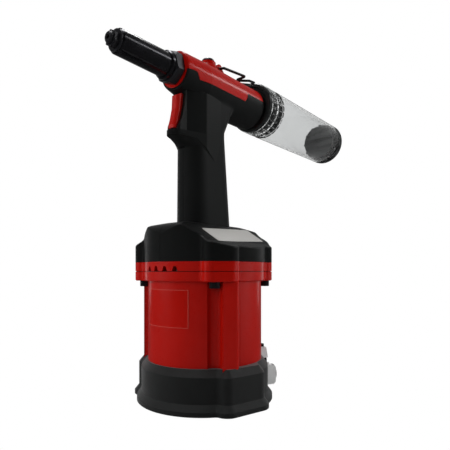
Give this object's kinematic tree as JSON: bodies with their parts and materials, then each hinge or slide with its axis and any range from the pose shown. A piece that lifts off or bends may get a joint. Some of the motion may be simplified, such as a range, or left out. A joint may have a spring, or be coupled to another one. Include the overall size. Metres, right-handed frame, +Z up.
{
  "type": "air hydraulic riveter",
  "caption": "Hand-held air-over-hydraulic blind rivet gun: slanted pulling head with nose and clear mandrel collector, black grip and trigger, air cylinder on a rubber boot",
  "frame": {"origin": "centre of the foot's flat underside on the floor, under the axis of the air cylinder", "axes": "+Z up along the air cylinder and the handle, -X towards the nose, +X towards the collector's cap, -Y the tool's left side"},
  "size_m": [0.3313, 0.1282, 0.2987],
  "materials": {
    "rubber_boot": "matte moulded rubber",
    "air_cylinder": "gloss red paint on cast aluminium",
    "cylinder_base": "turned",
    "base_o_ring": "satin",
    "base_circlip": "black oxide spring steel",
    "flange_gasket": "matte sheet gasket",
    "flange_bolts": "black oxide socket screws",
    "muffler_felt": "pressed felt",
    "air_piston": "turned",
    "air_piston_seal": "satin",
    "ram_rod": "ground and polished",
    "stud_nut": "plain steel",
    "ram_gland": "turned bronze",
    "ram_seal": "satin",
    "body_casting": "gloss red paint on cast aluminium",
    "oil_plug": "black oxide button-head screw",
    "grip_left": "satin black moulding",
    "grip_right": "satin black moulding",
    "grip_screws": "black oxide",
    "skirt_left": "satin black moulding",
    "skirt_right": "satin black moulding",
    "hanger": "black coated wire",
    "pull_piston": "ground",
    "pull_piston_seal": "satin",
    "rod_seal": "satin",
    "mandrel_tube": "drawn tube",
    "return_spring": "spring steel",
    "jaw_case": "hardened steel",
    "jaws": "hardened steel",
    "jaw_pusher": "turned steel",
    "jaw_spring": "spring steel",
    "nose_housing": "polished black oxide",
    "lock_nut": "black oxide",
    "nosepiece": "black oxide",
    "rear_adapter": "semi-gloss black",
    "collector_bottle": "clear moulded tube",
    "collector_cap": "black moulding",
    "trigger": "semi-gloss red moulding",
    "valve_stem": "ground",
    "valve_sleeve": "turned",
    "trigger_spring": "spring steel",
    "inlet_block": "bead-blasted",
    "inlet_screws": "black oxide",
    "feed_plug": "black plug",
    "port_ring": "dark plated",
    "film_label": "clear blank film",
    "skirt_label": "blank white vinyl label"
  },
  "bodies": {
    "body": {"rubber_boot": "rubber_boot", "air_cylinder": "air_cylinder", "cylinder_base": "cylinder_base", "base_o_ring": "base_o_ring", "base_circlip": "base_circlip", "flange_gasket": "flange_gasket", "flange_bolts": "flange_bolts", "muffler_felt": "muffler_felt", "ram_gland": "ram_gland", "ram_seal": "ram_seal", "body_casting": "body_casting", "oil_plug": "oil_plug", "grip_left": "grip_left", "grip_right": "grip_right", "grip_screws": "grip_screws", "skirt_left": "skirt_left", "skirt_right": "skirt_right", "rod_seal": "rod_seal", "return_spring": "return_spring", "nose_housing": "nose_housing", "lock_nut": "lock_nut", "nosepiece": "nosepiece", "rear_adapter": "rear_adapter", "valve_sleeve": "valve_sleeve", "trigger_spring": "trigger_spring", "inlet_block": "inlet_block", "inlet_screws": "inlet_screws", "feed_plug": "feed_plug", "port_ring": "port_ring", "film_label": "film_label", "skirt_label": "skirt_label"},
    "ram": {"air_piston": "air_piston", "air_piston_seal": "air_piston_seal", "ram_rod": "ram_rod", "stud_nut": "stud_nut"},
    "pull": {"pull_piston": "pull_piston", "pull_piston_seal": "pull_piston_seal", "mandrel_tube": "mandrel_tube", "jaw_case": "jaw_case", "jaws": "jaws", "jaw_pusher": "jaw_pusher", "jaw_spring": "jaw_spring"},
    "trigger": {"trigger": "trigger", "valve_stem": "valve_stem"},
    "hanger": {"hanger": "hanger"},
    "collector": {"collector_bottle": "collector_bottle"},
    "cap": {"collector_cap": "collector_cap"}
  },
  "joints": [
    {"name": "ram_slide", "type": "slide", "parent": "body", "child": "ram", "axis": [0, 0, 1], "range_m": [0, 0.05008]},
    {"name": "pull_slide", "type": "slide", "parent": "body", "child": "pull", "axis": [1, 0, 0], "range_m": [0, 0.018], "deforming": ["return_spring"]},
    {"name": "trigger_slide", "type": "slide", "parent": "body", "child": "trigger", "axis": [1, 0, 0], "range_m": [0, 0.004], "stiffness_N_per_m": 800, "springref_m": -0.004, "deforming": ["trigger_spring"]},
    {"name": "hanger_swing", "type": "hinge", "parent": "body", "child": "hanger", "pos_m": [0.0165, 0, 0.2912], "axis": [0, -1, 0], "range_deg": [0, 100]},
    {"name": "collector_off", "type": "slide", "parent": "body", "child": "collector", "axis": [1, 0, 0], "range_m": [0, 0.022]},
    {"name": "cap_pull", "type": "slide", "parent": "collector", "child": "cap", "axis": [1, 0, 0], "range_m": [0, 0.03]}
  ],
  "couplings": [
    {"joint": "pull_slide", "follows": "ram_slide", "ratio": 0.3594}
  ]
}
